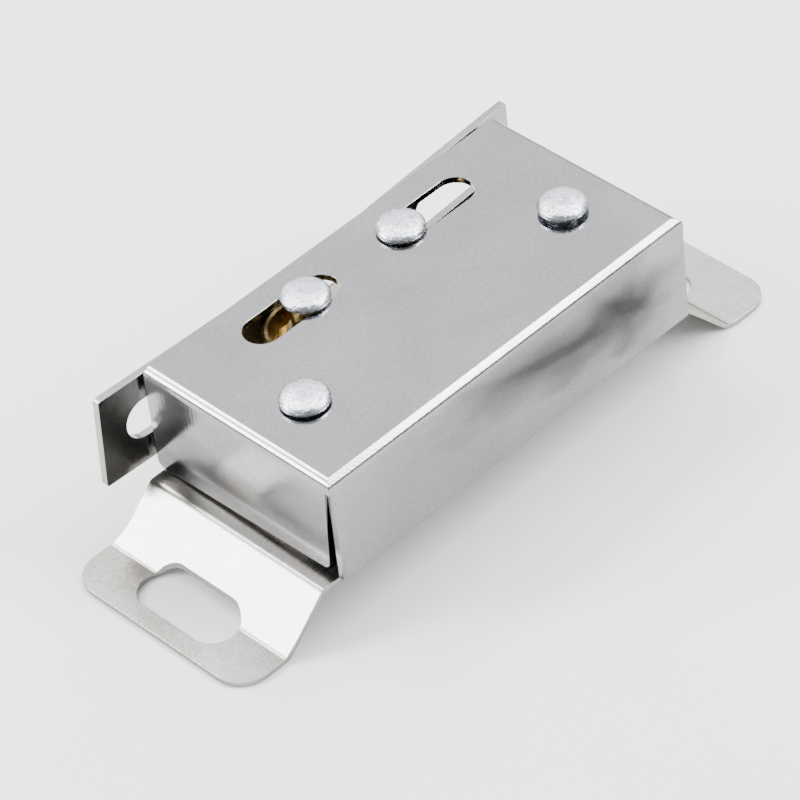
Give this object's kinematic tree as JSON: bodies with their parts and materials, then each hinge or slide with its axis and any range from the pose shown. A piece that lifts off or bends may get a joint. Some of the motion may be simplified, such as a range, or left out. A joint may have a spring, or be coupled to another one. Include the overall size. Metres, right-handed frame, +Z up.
{
  "type": "double roller catch",
  "caption": "Double roller catch: spring-loaded brass rollers in a folded steel case grip the spear of a slotted keeper plate, slotted mounting ears",
  "frame": {"origin": "on the mounting plane under the two ears, below the middle of the whole assembly", "axes": "+X along the body towards the far ear, +Y out of the open side the way the keeper leaves, +Z up from the mounting plane"},
  "size_m": [0.0688, 0.0262, 0.0182],
  "materials": {
    "plated_sheet": "nickel-plated pressed steel sheet",
    "rivet_zinc": "dull zinc-plated steel rivet",
    "turned_steel": "plain turned steel",
    "spring_steel": "drawn spring wire",
    "brass": "turned brass"
  },
  "bodies": {
    "frame": {"cover": "plated_sheet", "base_plate": "plated_sheet", "fixed_rivet_near": "rivet_zinc", "fixed_rivet_far": "rivet_zinc", "spacer_tube_near": "turned_steel", "spacer_tube_far": "turned_steel", "tension_spring": "spring_steel"},
    "carriage_near": {"axle_near": "rivet_zinc", "upper_sleeve_near": "brass", "lower_sleeve_near": "brass", "tail_washer_near": "turned_steel"},
    "carriage_far": {"axle_far": "rivet_zinc", "upper_sleeve_far": "brass", "lower_sleeve_far": "brass", "tail_washer_far": "turned_steel"},
    "roller_near": {"roller_near": "brass"},
    "roller_far": {"roller_far": "brass"},
    "keeper": {"keeper": "plated_sheet"}
  },
  "joints": [
    {"name": "keeper_withdraw", "type": "slide", "parent": "frame", "child": "keeper", "axis": [0, 1, 0], "range_m": [0, 0.005]},
    {"name": "roller_slide_near", "type": "slide", "parent": "frame", "child": "carriage_near", "axis": [-1, 0, 0], "range_m": [0, 0.0025], "stiffness_N_per_m": 300, "springref_m": -0.003, "deforming": ["tension_spring"]},
    {"name": "roller_slide_far", "type": "slide", "parent": "frame", "child": "carriage_far", "axis": [1, 0, 0], "range_m": [0, 0.0025], "stiffness_N_per_m": 300, "springref_m": -0.003},
    {"name": "roller_spin_near", "type": "hinge", "parent": "carriage_near", "child": "roller_near", "pos_m": [-0.00629, 0.00632, 0.01105], "axis": [0, 0, 1], "continuous": true},
    {"name": "roller_spin_far", "type": "hinge", "parent": "carriage_far", "child": "roller_far", "pos_m": [0.00589, 0.00632, 0.01105], "axis": [0, 0, 1], "continuous": true}
  ],
  "couplings": [
    {"joint": "roller_slide_near", "follows": "keeper_withdraw", "ratio": 0.5},
    {"joint": "roller_slide_far", "follows": "keeper_withdraw", "ratio": 0.5}
  ]
}
